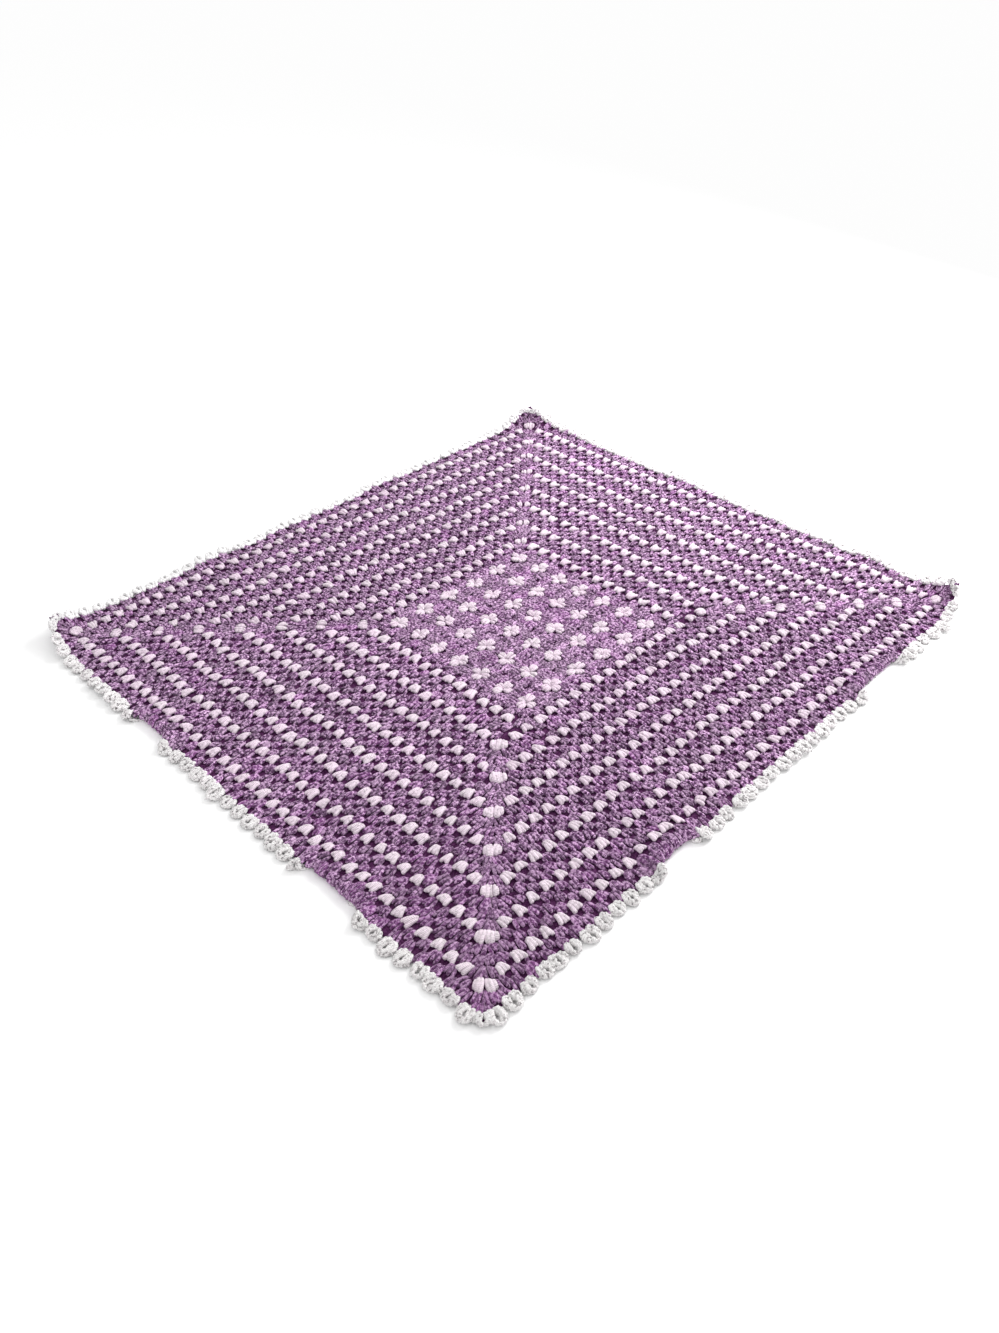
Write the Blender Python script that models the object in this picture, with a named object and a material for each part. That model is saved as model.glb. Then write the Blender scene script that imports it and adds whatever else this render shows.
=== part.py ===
"""A crocheted granny square blanket, laid out on a floor.

Three crocheted pieces make it: a centre panel of small squares, a wide border
worked round the panel, and an edging of shells. Each is drawn flat, in the
plane, and then laid down: the cloth is flat on the floor over most of its
area, its edge is turned under in four places, and three corners curl up.
Lengths are in metres, X and Y lie in the floor, Z is up.
"""

import math

import bmesh
import bpy
import numpy as np

# The yarn and the cloth
THICKNESS = 0.003
SEAM = 0.0003

# The centre panel: small squares, slightly pulled out along X
SQUARES_X, SQUARES_Y = 6, 7
SQUARE_X, SQUARE_Y = 0.048, 0.0417

# The border: rounds of clusters, counted outwards from the panel.
# The side towards -Y has one band of four rounds fewer than the others.
ROUNDS = {"-x": 32, "+x": 32, "-y": 28, "+y": 32}
ROUND_HEIGHT = {"-x": 0.01065, "+x": 0.0106, "-y": 0.0100, "+y": 0.0097}
# Rows of gaps that are cut through, in rounds from the panel, for a side with
# all its bands: every second band has its row, and a gap every two clusters.
GAP_ROWS = (11.5, 19.5, 27.5)
HALF_ROW = 0.6
FOLD_LINES = (3.5, 7.5, 15.5, 23.5, 30)
COLUMNS = 7
GAP_ALONG, GAP_ACROSS = 0.0075, 0.0055
PANEL_GAP = 0.005
RIM = 0.0005

# The edging: one shell for each cluster of the last round
EDGING_WIDTH = 0.021
SHELLS_X, SHELLS_Y = 44, 39
STEPS_PER_SHELL = 2
NOTCH = 0.0055
CORNER_CUT = 0.005
EDGING_LINE = 0.0095

# How far a side's outer line is drawn out of square, at its two ends
PULLS = (
    {"side": "-x", "start": 0.001, "end": -0.002},
    {"side": "-y", "start": 0.000, "end": -0.018},
)

# Where the edge is turned under: the side, the middle and half the length of
# the stretch along it, and how much of the edge is under the blanket.
TUCKS = (
    {"side": "-x", "middle": -0.197, "half": 0.052, "under": 0.026},
    {"side": "-x", "middle": 0.172, "half": 0.036, "under": 0.026},
    {"side": "-y", "middle": -0.188, "half": 0.034, "under": 0.026},
    {"side": "-y", "middle": 0.244, "half": 0.050, "under": 0.026},
)
TUCK_SOFT = 0.030
TUCK_RADIUS = 0.004
TUCK_TAPER = 0.060
TUCK_EASE = 0.0018
TUCK_LINES = (0.0130, 0.0165, 0.0237, 0.0270, 0.0370)

# Where the edge stands a little off the floor
RIPPLES = (
    {"side": "+x", "middle": 0.345, "half": 0.060, "height": 0.009},
    {"side": "+x", "middle": -0.270, "half": 0.050, "height": 0.009},
    {"side": "+x", "middle": 0.090, "half": 0.090, "height": 0.004},
    {"side": "+y", "middle": -0.215, "half": 0.080, "height": 0.006},
    {"side": "+y", "middle": 0.130, "half": 0.070, "height": 0.004},
    {"side": "-x", "middle": 0.285, "half": 0.070, "height": 0.006},
    {"side": "-y", "middle": 0.050, "half": 0.090, "height": 0.003},
)
RIPPLE_REACH = 0.080

# Corners that curl up: their signs, the length that curls and its radius
CURLS = (
    {"x": -1, "y": 1, "length": 0.090, "radius": 0.056},
    {"x": 1, "y": -1, "length": 0.090, "radius": 0.056},
    {"x": 1, "y": 1, "length": 0.090, "radius": 0.052},
    {"x": -1, "y": -1, "length": 0.040, "radius": 0.150},
)

COLLECTION = "granny_square_blanket"
FINISHES = {
    "centre_panel": {"colour": (0.62, 0.47, 0.66, 1.0), "roughness": 0.95},
    "border_rounds": {"colour": (0.36, 0.20, 0.42, 1.0), "roughness": 0.95},
    "shell_edging": {"colour": (0.86, 0.84, 0.80, 1.0), "roughness": 0.95},
}

PANEL_X = SQUARES_X * SQUARE_X / 2
PANEL_Y = SQUARES_Y * SQUARE_Y / 2


def signed(side):
    """The sign of a side's direction, and its axis."""
    return (-1 if side[0] == "-" else 1), "xy".index(side[1])


def border_edge(side):
    """How far the border's outer line is from the centre, on one side."""
    half = (PANEL_X, PANEL_Y)[signed(side)[1]]
    return half + ROUNDS[side] * ROUND_HEIGHT[side]


def outer_edge(side):
    """How far the edging's outer line is from the centre, on one side."""
    return border_edge(side) + EDGING_WIDTH


def on_side(rows, side):
    """Rows in rounds from the panel, less the band that a side doesn't have."""
    missing = ROUNDS["+y"] - ROUNDS[side]
    return [row - missing for row in rows if row >= missing]


def round_lines(side):
    """The lines across one side's border, in rounds from the panel."""
    rows = [row + half for row in GAP_ROWS for half in (-0.5, 0.5)]
    return on_side(rows + list(FOLD_LINES), side)


def soft_step(value):
    """Rises smoothly from 0 to 1 as the value does."""
    value = np.clip(value, 0.0, 1.0)
    return value * value * (3 - 2 * value)


def turned_under(points, tuck):
    """Rolls the edge under the blanket along one stretch of a side."""
    sign, axis = signed(tuck["side"])
    inside = outer_edge(tuck["side"]) - sign * points[:, axis]
    off = np.abs(points[:, 1 - axis] - tuck["middle"])
    under = tuck["under"] * soft_step((tuck["half"] + TUCK_SOFT / 2 - off) / TUCK_SOFT)
    rise = TUCK_RADIUS * (1 - np.cos(np.minimum(under / TUCK_RADIUS, math.pi)))
    arc = np.maximum(under - inside, 0.0)
    turn = np.minimum(arc / TUCK_RADIUS, math.pi)
    above = points[:, 2] - THICKNESS / 2
    rolled = under - (TUCK_RADIUS + above) * np.sin(turn) + (arc - turn * TUCK_RADIUS)
    fade = np.clip((inside - under) / TUCK_TAPER, 0.0, 1.0)
    rise = rise * (1 + np.cos(math.pi * fade)) / 2
    out = points.copy()
    out[:, axis] += np.where(arc > 0, sign * (inside - rolled), 0.0)
    out[:, 2] += rise - (TUCK_RADIUS + above) * (1 - np.cos(turn))
    return out


def rippled(points, ripple):
    """Lifts a stretch of one side's edge off the floor."""
    sign, axis = signed(ripple["side"])
    inside = outer_edge(ripple["side"]) - sign * points[:, axis]
    off = np.clip(np.abs(points[:, 1 - axis] - ripple["middle"]) / ripple["half"], 0, 1)
    reach = np.clip(1 - inside / RIPPLE_REACH, 0.0, None)
    out = points.copy()
    out[:, 2] += ripple["height"] * (1 + np.cos(math.pi * off)) / 2 * reach**2
    return out


def curled(points, curl):
    """Rolls one corner of the blanket upwards about a line across it."""
    sides = ("-x" if curl["x"] < 0 else "+x", "-y" if curl["y"] < 0 else "+y")
    corner = np.array([outer_edge(side) for side in sides])
    way = np.array([curl["x"], curl["y"]]) / math.sqrt(2)
    along = points[:, :2] @ way - corner.sum() / math.sqrt(2) + curl["length"]
    along = np.maximum(along, 0.0)
    turn = along / curl["radius"]
    radius = curl["radius"] - (points[:, 2] - THICKNESS / 2)
    out = points.copy()
    out[:, :2] += (radius * np.sin(turn) - along)[:, None] * way
    out[:, 2] += radius * (1 - np.cos(turn))
    return out


def pulled(points, pull):
    """How far one side of the flat cloth is drawn outwards at each point."""
    sign, axis = signed(pull["side"])
    half = (PANEL_X, PANEL_Y)[axis]
    outwards = (sign * points[:, axis] - half) / (border_edge(pull["side"]) - half)
    low, high = ("-x", "+x") if axis == 1 else ("-y", "+y")
    along = (points[:, 1 - axis] + outer_edge(low)) / (outer_edge(low) + outer_edge(high))
    drawn = pull["start"] + (pull["end"] - pull["start"]) * along
    move = np.zeros_like(points)
    move[:, axis] = sign * drawn * np.clip(outwards, 0.0, 1.0)
    return move


def laid(points):
    """Where points of the flat blanket come to lie on the floor."""
    pulls = sum(pulled(points, pull) for pull in PULLS)
    for tuck in TUCKS:
        points = turned_under(points, tuck)
    for ripple in RIPPLES:
        points = rippled(points, ripple)
    for curl in CURLS:
        points = curled(points, curl)
    return points + pulls


def flat_sheet(x_low, x_high, y_low, y_high):
    """A bmesh with one rectangle on the floor."""
    sheet = bmesh.new()
    bmesh.ops.create_grid(sheet, x_segments=1, y_segments=1, size=0.5)
    for vert in sheet.verts:
        vert.co.x = x_low if vert.co.x < 0 else x_high
        vert.co.y = y_low if vert.co.y < 0 else y_high
        vert.co.z = 0.0
    return sheet


def scored(sheet, axis, places, keep=None):
    """Cuts lines into a sheet, square to an axis, on the faces that keep picks."""
    normal = (1, 0, 0) if axis == 0 else (0, 1, 0)
    for place in places:
        faces = [f for f in sheet.faces if keep is None or keep(f.calc_center_median())]
        edges = {e for f in faces for e in f.edges}
        verts = {v for f in faces for v in f.verts}
        spot = [place if a == axis else 0.0 for a in range(3)]
        bmesh.ops.bisect_plane(
            sheet, geom=[*verts, *edges, *faces], plane_co=spot, plane_no=normal, dist=1e-6
        )


def panel_edges(axis):
    """The border's two inner lines square to an axis."""
    half = (PANEL_X, PANEL_Y)[axis] + SEAM
    return [-half, half]


def side_places(axis):
    """The border's lines square to an axis, each put on the nearest shell step."""
    low, high = ("-x", "+x") if axis == 0 else ("-y", "+y")
    half = (PANEL_X, PANEL_Y)[axis]
    places = [half * (2 * i / COLUMNS - 1) for i in range(1, COLUMNS)]
    for side in (low, high):
        sign = signed(side)[0]
        places += [sign * (half + n * ROUND_HEIGHT[side]) for n in round_lines(side)]
    steps = shell_places(axis)
    return sorted({min(steps, key=lambda step: abs(step - place)) for place in places})


def rounds_out(place, axis):
    """How many rounds outside the panel a place lies along an axis."""
    side = ("-x", "+x", "-y", "+y")[2 * axis + (place > 0)]
    half = (PANEL_X, PANEL_Y)[axis]
    return max(abs(place) - half, 0.0) / ROUND_HEIGHT[side], side


def has_gap(centre):
    """Whether the cell with this centre holds one of the border's gaps."""
    beside = [(*rounds_out(centre[axis], axis), axis) for axis in (0, 1)]
    across, out = sorted(beside)

    def in_row(place):
        return any(abs(place[0] - row) < HALF_ROW for row in on_side(GAP_ROWS, place[1]))

    return in_row(out) and not in_row(across) and across[0] < out[0] - 1


def cut_gaps(sheet, faces, along, across):
    """Opens a gap in the middle of each face, longer along its side."""
    bmesh.ops.inset_individual(sheet, faces=faces, thickness=RIM)
    for face in faces:
        middle = face.calc_center_median()
        beside_x = rounds_out(middle.x, 0)[0] > rounds_out(middle.y, 1)[0]
        size = (across, along) if beside_x else (along, across)
        for vert in face.verts:
            vert.co.x = middle.x + math.copysign(size[0] / 2, vert.co.x - middle.x)
            vert.co.y = middle.y + math.copysign(size[1] / 2, vert.co.y - middle.y)
    bmesh.ops.delete(sheet, geom=faces, context="FACES")


def in_tuck(centre):
    """Whether a point is in the strip that is turned under or lifted by it."""
    for tuck in TUCKS:
        sign, axis = signed(tuck["side"])
        inside = outer_edge(tuck["side"]) - sign * centre[axis]
        near = abs(centre[1 - axis] - tuck["middle"]) < tuck["half"] + TUCK_SOFT
        if inside < TUCK_LINES[-1] + 0.002 and near:
            return True
    return False


def shell_places(axis):
    """The edging's lines across its width, as places along an axis."""
    low, high = ("-x", "+x") if axis == 0 else ("-y", "+y")
    shells = (SHELLS_X, SHELLS_Y)[axis]
    start, end = -border_edge(low), border_edge(high)
    steps = shells * STEPS_PER_SHELL
    return [start + (end - start) * i / steps for i in range(steps + 1)]


def past_border(centre):
    """Whether a point is outside the border's outer line."""
    inside_x = -border_edge("-x") < centre.x < border_edge("+x")
    inside_y = -border_edge("-y") < centre.y < border_edge("+y")
    return not (inside_x and inside_y)


def stepped_rim(sheet):
    """Gives a sheet's boundary the edging's steps, so that both lie alike."""
    for axis in (0, 1):
        normal = (1, 0, 0) if axis == 0 else (0, 1, 0)
        for place in shell_places(axis):
            edges = [e for e in sheet.edges if e.is_boundary]
            verts = {v for e in edges for v in e.verts}
            spot = [place if a == axis else 0.0 for a in range(3)]
            bmesh.ops.bisect_plane(
                sheet, geom=[*verts, *edges], plane_co=spot, plane_no=normal, dist=1e-6
            )


def ease_rim(sheet):
    """Draws the border's rim back a little where it twists into a tuck."""
    for vert in sheet.verts:
        for side in ROUNDS:
            sign, axis = signed(side)
            if abs(sign * vert.co[axis] - border_edge(side)) < SEAM and in_tuck(vert.co):
                vert.co[axis] -= sign * TUCK_EASE


def score_tucks(sheet):
    """Adds the lines that bend where the edge is turned under."""
    for tuck in TUCKS:
        sign, axis = signed(tuck["side"])
        edge = outer_edge(tuck["side"])
        scored(sheet, axis, [sign * (edge - line) for line in TUCK_LINES], in_tuck)
    for axis in (0, 1):
        scored(sheet, axis, shell_places(axis), in_tuck)


def panel_sheet():
    """The centre panel, with a gap where the corners of four squares meet."""
    sheet = flat_sheet(-PANEL_X, PANEL_X, -PANEL_Y, PANEL_Y)
    scored(sheet, 0, [(i + 0.5) * SQUARE_X - PANEL_X for i in range(SQUARES_X)])
    scored(sheet, 1, [(j + 0.5) * SQUARE_Y - PANEL_Y for j in range(SQUARES_Y)])
    inner = [
        f
        for f in sheet.faces
        if abs(f.calc_center_median().x) < PANEL_X - SQUARE_X / 2
        and abs(f.calc_center_median().y) < PANEL_Y - SQUARE_Y / 2
    ]
    cut_gaps(sheet, inner, PANEL_GAP, PANEL_GAP)
    return sheet


def border_sheet():
    """The border, a wide frame with rows of gaps between its clusters."""
    edges = {side: border_edge(side) for side in ROUNDS}
    sheet = flat_sheet(-edges["-x"], edges["+x"], -edges["-y"], edges["+y"])
    for axis in (0, 1):
        scored(sheet, axis, panel_edges(axis) + side_places(axis))
    inner = [
        f
        for f in sheet.faces
        if abs(f.calc_center_median().x) < PANEL_X and abs(f.calc_center_median().y) < PANEL_Y
    ]
    bmesh.ops.delete(sheet, geom=inner, context="FACES")
    stepped_rim(sheet)
    score_tucks(sheet)
    ease_rim(sheet)
    gaps = [f for f in sheet.faces if has_gap(f.calc_center_median())]
    cut_gaps(sheet, gaps, GAP_ALONG, GAP_ACROSS)
    return sheet


def edging_sheet():
    """The edging, a narrow frame whose outer line is scalloped by its shells."""
    edges = {side: outer_edge(side) for side in ROUNDS}
    sheet = flat_sheet(-edges["-x"], edges["+x"], -edges["-y"], edges["+y"])
    for axis, (low, high) in enumerate((("-x", "+x"), ("-y", "+y"))):
        inner_low, inner_high = -border_edge(low) - SEAM, border_edge(high) + SEAM
        line_low, line_high = -edges[low] + EDGING_LINE, edges[high] - EDGING_LINE
        scored(sheet, axis, [inner_low, inner_high, line_low, line_high])
    inner = [f for f in sheet.faces if not past_border(f.calc_center_median())]
    bmesh.ops.delete(sheet, geom=inner, context="FACES")
    for axis in (0, 1):
        scored(sheet, axis, panel_edges(axis) + shell_places(axis)[1:-1])
    score_tucks(sheet)
    scallop(sheet)
    return sheet


def scallop(sheet):
    """Draws the outline in between the shells, and rounds the corners."""
    places = [shell_places(axis)[::STEPS_PER_SHELL] for axis in (0, 1)]
    for vert in sheet.verts:
        at = [vert.co.x, vert.co.y]
        on = []
        for axis, (low, high) in enumerate((("-x", "+x"), ("-y", "+y"))):
            if abs(at[axis] + outer_edge(low)) < SEAM:
                on.append((axis, 1))
            if abs(at[axis] - outer_edge(high)) < SEAM:
                on.append((axis, -1))
        for axis, inwards in on:
            between = min(abs(at[1 - axis] - place) for place in places[1 - axis])
            depth = CORNER_CUT if len(on) > 1 else NOTCH if between < SEAM else 0.0
            vert.co[axis] += inwards * depth


def laid_piece(name, sheet, shift):
    """Gives a flat sheet its thickness and lays it on the floor."""
    bmesh.ops.solidify(sheet, geom=sheet.faces[:], thickness=THICKNESS)
    points = np.array([vert.co[:] for vert in sheet.verts])
    points[:, 2] -= points[:, 2].min()
    for vert, point in zip(sheet.verts, laid(points) + shift):
        vert.co = point
    bmesh.ops.recalc_face_normals(sheet, faces=sheet.faces)
    mesh = bpy.data.meshes.new(name)
    sheet.to_mesh(mesh)
    sheet.free()
    piece = bpy.data.objects.new(name, mesh)
    bpy.data.collections[COLLECTION].objects.link(piece)
    mesh.materials.append(finish(name))
    return piece


def finish(name):
    """A piece's yarn, as a plain rough finish."""
    material = bpy.data.materials.new(name + "_yarn")
    material.use_nodes = True
    shader = material.node_tree.nodes["Principled BSDF"]
    shader.inputs["Base Color"].default_value = FINISHES[name]["colour"]
    shader.inputs["Roughness"].default_value = FINISHES[name]["roughness"]
    shader.inputs["Metallic"].default_value = 0.0
    return material


def middle_of_box(sheets):
    """The shift that puts the middle of the laid blanket over the origin."""
    points = np.array([vert.co[:] for sheet in sheets for vert in sheet.verts])
    points = laid(points)[:, :2]
    middle = (points.min(axis=0) + points.max(axis=0)) / 2
    return np.array([-middle[0], -middle[1], 0.0])


def clear_scene():
    """Removes whatever the scene holds, and makes the blanket's collection."""
    for thing in list(bpy.data.objects):
        bpy.data.objects.remove(thing, do_unlink=True)
    collection = bpy.data.collections.new(COLLECTION)
    bpy.context.scene.collection.children.link(collection)


def main():
    """Makes the three pieces of the blanket."""
    clear_scene()
    sheets = {
        "centre_panel": panel_sheet(),
        "border_rounds": border_sheet(),
        "shell_edging": edging_sheet(),
    }
    shift = middle_of_box(sheets.values())
    for name, sheet in sheets.items():
        laid_piece(name, sheet, shift)


main()
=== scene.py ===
"""A crocheted granny square blanket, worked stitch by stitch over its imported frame.

Every stitch is placed on the flat cloth, as it would be if the blanket were
stretched out, and is then laid down with the folds of the frame: the edge that
is turned under, the edge that stands off the floor and the corners that curl.
"""

import logging
import math
from dataclasses import dataclass, field, fields
from enum import Enum
from typing import NamedTuple

import bmesh
import bpy
import numpy as np
from mathutils import Matrix, Vector


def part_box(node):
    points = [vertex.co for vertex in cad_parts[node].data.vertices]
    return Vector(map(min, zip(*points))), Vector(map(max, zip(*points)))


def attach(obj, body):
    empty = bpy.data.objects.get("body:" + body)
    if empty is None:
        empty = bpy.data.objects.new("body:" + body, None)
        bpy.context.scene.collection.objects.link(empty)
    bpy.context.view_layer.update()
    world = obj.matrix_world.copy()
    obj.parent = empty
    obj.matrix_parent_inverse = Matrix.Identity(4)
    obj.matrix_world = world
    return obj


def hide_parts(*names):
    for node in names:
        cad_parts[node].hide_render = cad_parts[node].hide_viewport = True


MM = 0.001
YARN_UNIT = 100  # millimetres of yarn that count as 1 in the mesh's yarn values
STITCH_TONE = 0.75  # how much of a strand's tone is its whole stitch's

Point = tuple[float, float, float]
Colour = tuple[float, float, float]
Range = tuple[float, float]
Array = np.ndarray
Object = bpy.types.Object
Material = bpy.types.Material
Socket = bpy.types.NodeSocket
Sockets = bpy.types.NodeOutputs

log = logging.getLogger("blanket")


class Side(Enum):
    """The four sides of the blanket, by the direction in which they face."""

    LEFT = "-x"
    RIGHT = "+x"
    FRONT = "-y"
    BACK = "+y"

    @property
    def sign(self) -> int:
        """-1 or 1, the sign of the direction."""
        return -1 if self.value[0] == "-" else 1

    @property
    def axis(self) -> int:
        """0 for a side that faces along X, 1 along Y."""
        return "xy".index(self.value[1])

    @property
    def ends(self) -> "tuple[Side, Side]":
        """The sides at its low and high end."""
        return (Side.FRONT, Side.BACK) if self.axis == 0 else (Side.LEFT, Side.RIGHT)

    @property
    def next(self) -> "Side":
        """The side after it, going round against the clock."""
        order = (Side.LEFT, Side.FRONT, Side.RIGHT, Side.BACK)
        return order[(order.index(self) + 1) % 4]

    @property
    def out(self) -> Array:
        """The direction in which it faces, on the flat cloth."""
        return self.place(1.0, 0.0)

    def place(self, out: float, along: float) -> Array:
        """A place given by its distance out from the centre and along the side."""
        out *= self.sign
        return np.array([out, along] if self.axis == 0 else [along, out])

    def curled(self, other: "Side") -> bool:
        """Whether the corner that it makes with another side curls right up."""
        return {self, other} != {Side.LEFT, Side.FRONT}


class Ply(Enum):
    """The yarns, by their place in a piece's list of materials."""

    PURPLE = 0
    PALE = 1
    CREAM = 0


def soft_step(value: Array) -> Array:
    """Rises smoothly from 0 to 1 as the value does."""
    value = np.clip(value, 0.0, 1.0)
    return value * value * (3 - 2 * value)


def placed(name: str, data: bpy.types.ID) -> Object:
    """Makes an object and puts it in the scene.

    Args:
        name: its name.
        data: its mesh, light or camera.

    Returns:
        The object.
    """
    thing = bpy.data.objects.new(name, data)
    bpy.context.scene.collection.objects.link(thing)
    return thing


# The cloth: its flat sizes, and how it lies


@dataclass(frozen=True)
class Stretch:
    """A stretch of one side, given by its middle and half its length."""

    side: Side
    middle: float
    half: float

    def off(self, points: Array) -> Array:
        """How far places are from the stretch's middle, along the side."""
        return np.abs(points[:, 1 - self.side.axis] - self.middle)

    def inside(self, points: Array, cloth: "Cloth") -> Array:
        """How far places are inside the side's edge."""
        return cloth.outer_edge(self.side) - self.side.sign * points[:, self.side.axis]


@dataclass(frozen=True)
class Tuck(Stretch):
    """A stretch of one side whose edge is turned under the blanket."""

    under: float = 0.026
    soft: float = 0.030
    radius: float = 0.004
    taper: float = 0.060

    def lay(self, points: Array, cloth: "Cloth") -> Array:
        """Rolls the edge under.

        Args:
            points: places on the cloth, one a row.
            cloth: the flat cloth's sizes.

        Returns:
            The places after the roll.
        """
        inside = self.inside(points, cloth)
        under = self.half + self.soft / 2 - self.off(points)
        under = self.under * soft_step(under / self.soft)
        rise = self.radius * (1 - np.cos(np.minimum(under / self.radius, math.pi)))
        arc = np.maximum(under - inside, 0.0)
        turn = np.minimum(arc / self.radius, math.pi)
        above = points[:, 2] - cloth.thickness / 2
        rolled = under - (self.radius + above) * np.sin(turn) + (arc - turn * self.radius)
        fade = np.clip((inside - under) / self.taper, 0.0, 1.0)
        rise = rise * (1 + np.cos(math.pi * fade)) / 2
        out = points.copy()
        out[:, self.side.axis] += np.where(arc > 0, self.side.sign * (inside - rolled), 0.0)
        out[:, 2] += rise - (self.radius + above) * (1 - np.cos(turn))
        return out


@dataclass(frozen=True)
class Ripple(Stretch):
    """A stretch of one side whose edge stands a little off the floor."""

    height: float = 0.005
    reach: float = 0.080

    def lay(self, points: Array, cloth: "Cloth") -> Array:
        """Lifts the edge.

        Args:
            points: places on the cloth, one a row.
            cloth: the flat cloth's sizes.

        Returns:
            The places after the lift.
        """
        off = np.clip(self.off(points) / self.half, 0, 1)
        near = np.clip(1 - self.inside(points, cloth) / self.reach, 0.0, None)
        out = points.copy()
        out[:, 2] += self.height * (1 + np.cos(math.pi * off)) / 2 * near**2
        return out


@dataclass(frozen=True)
class Curl:
    """A corner that rolls upwards about a line across it."""

    sides: tuple[Side, Side]
    length: float
    radius: float

    def lay(self, points: Array, cloth: "Cloth") -> Array:
        """Rolls the corner up.

        Args:
            points: places on the cloth, one a row.
            cloth: the flat cloth's sizes.

        Returns:
            The places after the roll.
        """
        corner = sum(cloth.outer_edge(side) for side in self.sides)
        way = np.array([side.sign for side in self.sides]) / math.sqrt(2)
        along = points[:, :2] @ way - corner / math.sqrt(2) + self.length
        along = np.maximum(along, 0.0)
        turn = along / self.radius
        radius = self.radius - (points[:, 2] - cloth.thickness / 2)
        out = points.copy()
        out[:, :2] += (radius * np.sin(turn) - along)[:, None] * way
        out[:, 2] += radius * (1 - np.cos(turn))
        return out


@dataclass(frozen=True)
class Pull:
    """How far a side's outer line is drawn out of square, at its two ends."""

    side: Side
    start: float
    end: float

    def move(self, points: Array, cloth: "Cloth") -> Array:
        """How far each place of the flat cloth is drawn outwards.

        Args:
            points: places on the cloth, one a row.
            cloth: the flat cloth's sizes.

        Returns:
            A move for each place, none of it upwards.
        """
        sign, axis = self.side.sign, self.side.axis
        half = cloth.panel_half(axis)
        outwards = (sign * points[:, axis] - half) / (cloth.border_edge(self.side) - half)
        low, high = (cloth.outer_edge(end) for end in self.side.ends)
        along = (points[:, 1 - axis] + low) / (low + high)
        drawn = self.start + (self.end - self.start) * along
        move = np.zeros_like(points)
        move[:, axis] = sign * drawn * np.clip(outwards, 0.0, 1.0)
        return move


TUCKS = (
    Tuck(Side.LEFT, -0.197, 0.052),
    Tuck(Side.LEFT, 0.172, 0.036),
    Tuck(Side.FRONT, -0.188, 0.034),
    Tuck(Side.FRONT, 0.244, 0.050),
)
RIPPLES = (
    Ripple(Side.RIGHT, 0.345, 0.060, 0.009),
    Ripple(Side.RIGHT, -0.270, 0.050, 0.009),
    Ripple(Side.RIGHT, 0.090, 0.090, 0.004),
    Ripple(Side.BACK, -0.215, 0.080, 0.006),
    Ripple(Side.BACK, 0.130, 0.070, 0.004),
    Ripple(Side.LEFT, 0.285, 0.070, 0.006),
    Ripple(Side.FRONT, 0.050, 0.090, 0.003),
)
CURLS = (
    Curl((Side.LEFT, Side.BACK), 0.090, 0.056),
    Curl((Side.RIGHT, Side.FRONT), 0.090, 0.056),
    Curl((Side.RIGHT, Side.BACK), 0.090, 0.052),
    Curl((Side.LEFT, Side.FRONT), 0.040, 0.150),
)
PULLS = (Pull(Side.LEFT, 0.001, -0.002), Pull(Side.FRONT, 0.0, -0.018))
ROUND_HEIGHTS = {Side.LEFT: 0.01065, Side.RIGHT: 0.0106, Side.FRONT: 0.0100, Side.BACK: 0.0097}


@dataclass(frozen=True)
class Cloth:
    """The blanket's flat sizes, and how it lies on the floor."""

    thickness: float = 0.003
    squares: tuple[int, int] = (6, 7)
    square: tuple[float, float] = (0.048, 0.0417)
    edging_width: float = 0.021
    shells: tuple[int, int] = (44, 39)
    drift: float = 0.0011
    swell: float = 0.0005
    tucks: tuple[Tuck, ...] = TUCKS
    ripples: tuple[Ripple, ...] = RIPPLES
    curls: tuple[Curl, ...] = CURLS
    pulls: tuple[Pull, ...] = PULLS

    def rounds(self, side: Side) -> int:
        """How many rounds the border has on one side."""
        return 28 if side is Side.FRONT else 32

    def height(self, side: Side) -> float:
        """How high a round is on one side."""
        return ROUND_HEIGHTS[side]

    def panel_half(self, axis: int) -> float:
        """Half the panel's size along an axis."""
        return self.squares[axis] * self.square[axis] / 2

    def line(self, side: Side, rounds: float) -> float:
        """How far a line is from the centre, given in rounds outside the panel."""
        return self.panel_half(side.axis) + rounds * self.height(side)

    def border_edge(self, side: Side) -> float:
        """How far the border's outer line is from the centre."""
        return self.line(side, self.rounds(side))

    def outer_edge(self, side: Side) -> float:
        """How far the edging's outer line is from the centre."""
        return self.border_edge(side) + self.edging_width

    def tucked(self, side: Side, along: float, beyond: float) -> bool:
        """Whether a place along a side is in a tuck, or less than so far beyond it."""
        return any(tuck.side is side and abs(along - tuck.middle) < tuck.half + beyond
                   for tuck in self.tucks)

    def unevenness(self, points: Array) -> Array:
        """How a hand-worked cloth wanders from its plan, in long uneven waves.

        Args:
            points: places on the flat cloth, one a row.

        Returns:
            A small move for each place, smooth over a few rounds.
        """
        x, y = points[:, 0], points[:, 1]
        move = np.zeros_like(points)
        move[:, 0] = np.sin(41 * y + 1.3) * np.cos(17 * x) + 0.6 * np.sin(67 * y - 23 * x)
        move[:, 1] = np.sin(37 * x + 0.4) * np.cos(19 * y) + 0.6 * np.sin(59 * x + 29 * y)
        move[:, :2] *= self.drift
        hills = np.sin(31 * x + 9 * y) * np.sin(27 * y - 5 * x + 1.0)
        move[:, 2] = self.swell * (1 + hills)
        return move

    def laid(self, points: Array) -> Array:
        """Lays places of the flat cloth on the floor.

        Args:
            points: places on the flat cloth, with their height above its underside.

        Returns:
            Where they come to lie, never under the floor.
        """
        points = points + self.unevenness(points)
        pulls = sum(pull.move(points, self) for pull in self.pulls)
        for fold in (*self.tucks, *self.ripples, *self.curls):
            points = fold.lay(points, self)
        points = points + pulls
        points[:, 2] = np.maximum(points[:, 2], 0.1 * MM)
        return points


# Stitches: tubes of yarn, bent and set side by side


@dataclass(frozen=True)
class Strand:
    """One tube of yarn: the way that it takes, and its half widths."""

    way: tuple[Point, ...]
    wide: tuple[float, ...]
    high: tuple[float, ...]


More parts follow.
